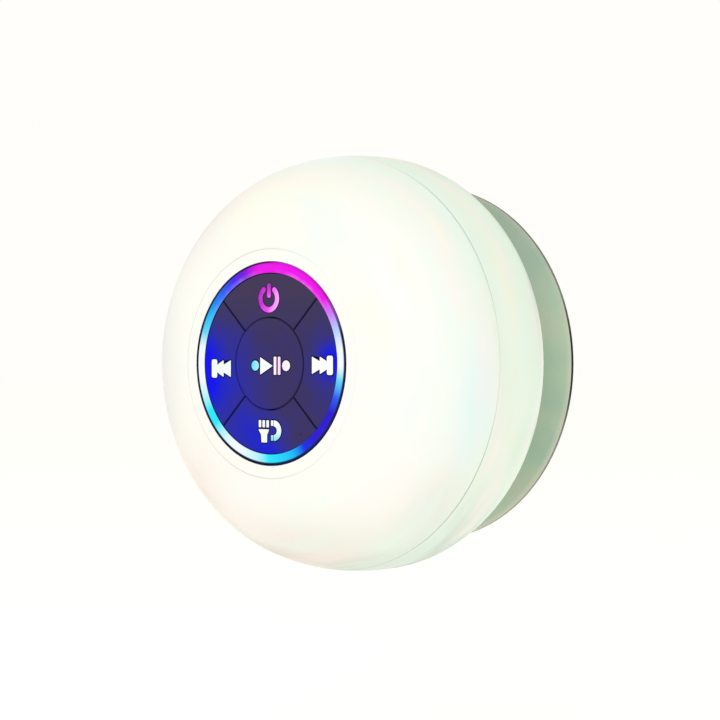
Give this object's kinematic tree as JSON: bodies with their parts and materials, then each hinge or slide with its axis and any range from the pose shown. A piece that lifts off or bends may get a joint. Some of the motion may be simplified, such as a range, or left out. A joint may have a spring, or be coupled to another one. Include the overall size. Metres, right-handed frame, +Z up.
{
  "type": "shower speaker",
  "caption": "Round battery-powered shower speaker with a lit milky body, a colour light ring, a rubber keypad and a wall suction cup.",
  "frame": {"origin": "centre of the suction cup's lip, on the wall plane", "axes": "+Y points into the wall, -Y out of it towards the user, +Z is up and +X is to the right of someone facing the keys"},
  "size_m": [0.086, 0.0504, 0.086],
  "materials": {
    "milky_shell": "milky, smooth, lit from inside",
    "milky_shell_rear": "milky, smooth, lit from inside",
    "light_guide": "clear light guide lit by coloured lamps",
    "key_rubber": "smooth coated silicone",
    "cup_silicone": "frosted translucent silicone",
    "plug_rubber": "smooth soft plastic",
    "seal_rubber": "matte",
    "black_plastic": "moulded, fine grain",
    "switch_plastic": "moulded",
    "plunger_plastic": "moulded",
    "chip_epoxy": "moulded epoxy",
    "led_package": "white package with a clear lens",
    "terminal_board": "brown laminate",
    "circuit_board": "green solder mask on glass laminate",
    "wire_insulation": "smooth insulation",
    "screw_steel": "zinc plated",
    "capacitor_can": "brushed can",
    "microphone_can": "satin can",
    "pouch_foil": "satin foil",
    "socket_steel": "deep-drawn shell",
    "basket_steel": "black paint on pressed steel",
    "magnet_steel": "zinc plated",
    "ferrite": "dark sintered ferrite",
    "coil_copper": "enamelled copper wire",
    "cone_paper": "pressed black paper",
    "surround_rubber": "satin rubber roll",
    "spider_cloth": "resin-dipped cloth",
    "mesh_fabric": "fine waterproof mesh",
    "foam_tape": "closed-cell foam"
  },
  "bodies": {
    "cup": {"suction_cup": "cup_silicone"},
    "speaker": {"amplifier_chip": "chip_epoxy", "battery": "pouch_foil", "battery_pad": "foam_tape", "battery_wires": "wire_insulation", "bluetooth_chip": "chip_epoxy", "board_capacitors": "capacitor_can", "board_screws": "screw_steel", "case_screws": "screw_steel", "case_seal": "seal_rubber", "charge_board": "circuit_board", "charge_screws": "screw_steel", "charge_socket": "socket_steel", "charge_tongue": "black_plastic", "charge_wires": "wire_insulation", "driver_basket": "basket_steel", "driver_gasket": "foam_tape", "driver_magnet": "ferrite", "driver_screws": "screw_steel", "driver_spider": "spider_cloth", "driver_surround": "surround_rubber", "driver_terminals": "terminal_board", "driver_top_plate": "magnet_steel", "driver_yoke": "magnet_steel", "front_shell": "milky_shell", "key_frame": "black_plastic", "keypad_web": "key_rubber", "lamp_board": "circuit_board", "lamp_leds": "led_package", "lamp_screws": "screw_steel", "lamp_wires": "wire_insulation", "light_ring": "light_guide", "main_board": "circuit_board", "microphone": "microphone_can", "microphone_boot": "seal_rubber", "port_strap": "plug_rubber", "rear_shell": "milky_shell_rear", "ring_leds": "led_package", "speaker_mesh": "mesh_fabric", "speaker_wires": "wire_insulation", "switch_bodies": "switch_plastic"},
    "port_plug": {"port_plug": "plug_rubber"},
    "driver_cone": {"driver_cone": "cone_paper", "dust_cap": "cone_paper", "voice_coil": "coil_copper"},
    "key_next": {"key_next": "key_rubber", "plunger_next": "plunger_plastic"},
    "key_power": {"key_power": "key_rubber", "plunger_power": "plunger_plastic"},
    "key_previous": {"key_previous": "key_rubber", "plunger_previous": "plunger_plastic"},
    "key_light_call": {"key_light_call": "key_rubber", "plunger_light_call": "plunger_plastic"},
    "key_play_pause": {"key_play_pause": "key_rubber", "plunger_play_pause": "plunger_plastic"}
  },
  "joints": [
    {"name": "cup_swivel", "type": "hinge", "parent": "cup", "child": "speaker", "pos_m": [0, 0, 0], "axis": [0, 1, 0], "continuous": true},
    {"name": "port_plug_hinge", "type": "hinge", "parent": "speaker", "child": "port_plug", "pos_m": [0.0072, -0.0234, -0.0424], "axis": [0, -1, 0], "range_deg": [0, 110]},
    {"name": "cone_travel", "type": "slide", "parent": "speaker", "child": "driver_cone", "axis": [0, 1, 0], "range_m": [-0.0005, 0.0005], "stiffness_N_per_m": 1000, "deforming": ["driver_surround", "driver_spider"]},
    {"name": "press_next", "type": "slide", "parent": "speaker", "child": "key_next", "axis": [0, 1, 0], "range_m": [0, 0.0004], "stiffness_N_per_m": 3000},
    {"name": "press_power", "type": "slide", "parent": "speaker", "child": "key_power", "axis": [0, 1, 0], "range_m": [0, 0.0004], "stiffness_N_per_m": 3000},
    {"name": "press_previous", "type": "slide", "parent": "speaker", "child": "key_previous", "axis": [0, 1, 0], "range_m": [0, 0.0004], "stiffness_N_per_m": 3000},
    {"name": "press_light_call", "type": "slide", "parent": "speaker", "child": "key_light_call", "axis": [0, 1, 0], "range_m": [0, 0.0004], "stiffness_N_per_m": 3000},
    {"name": "press_play_pause", "type": "slide", "parent": "speaker", "child": "key_play_pause", "axis": [0, 1, 0], "range_m": [0, 0.0004], "stiffness_N_per_m": 3000}
  ]
}
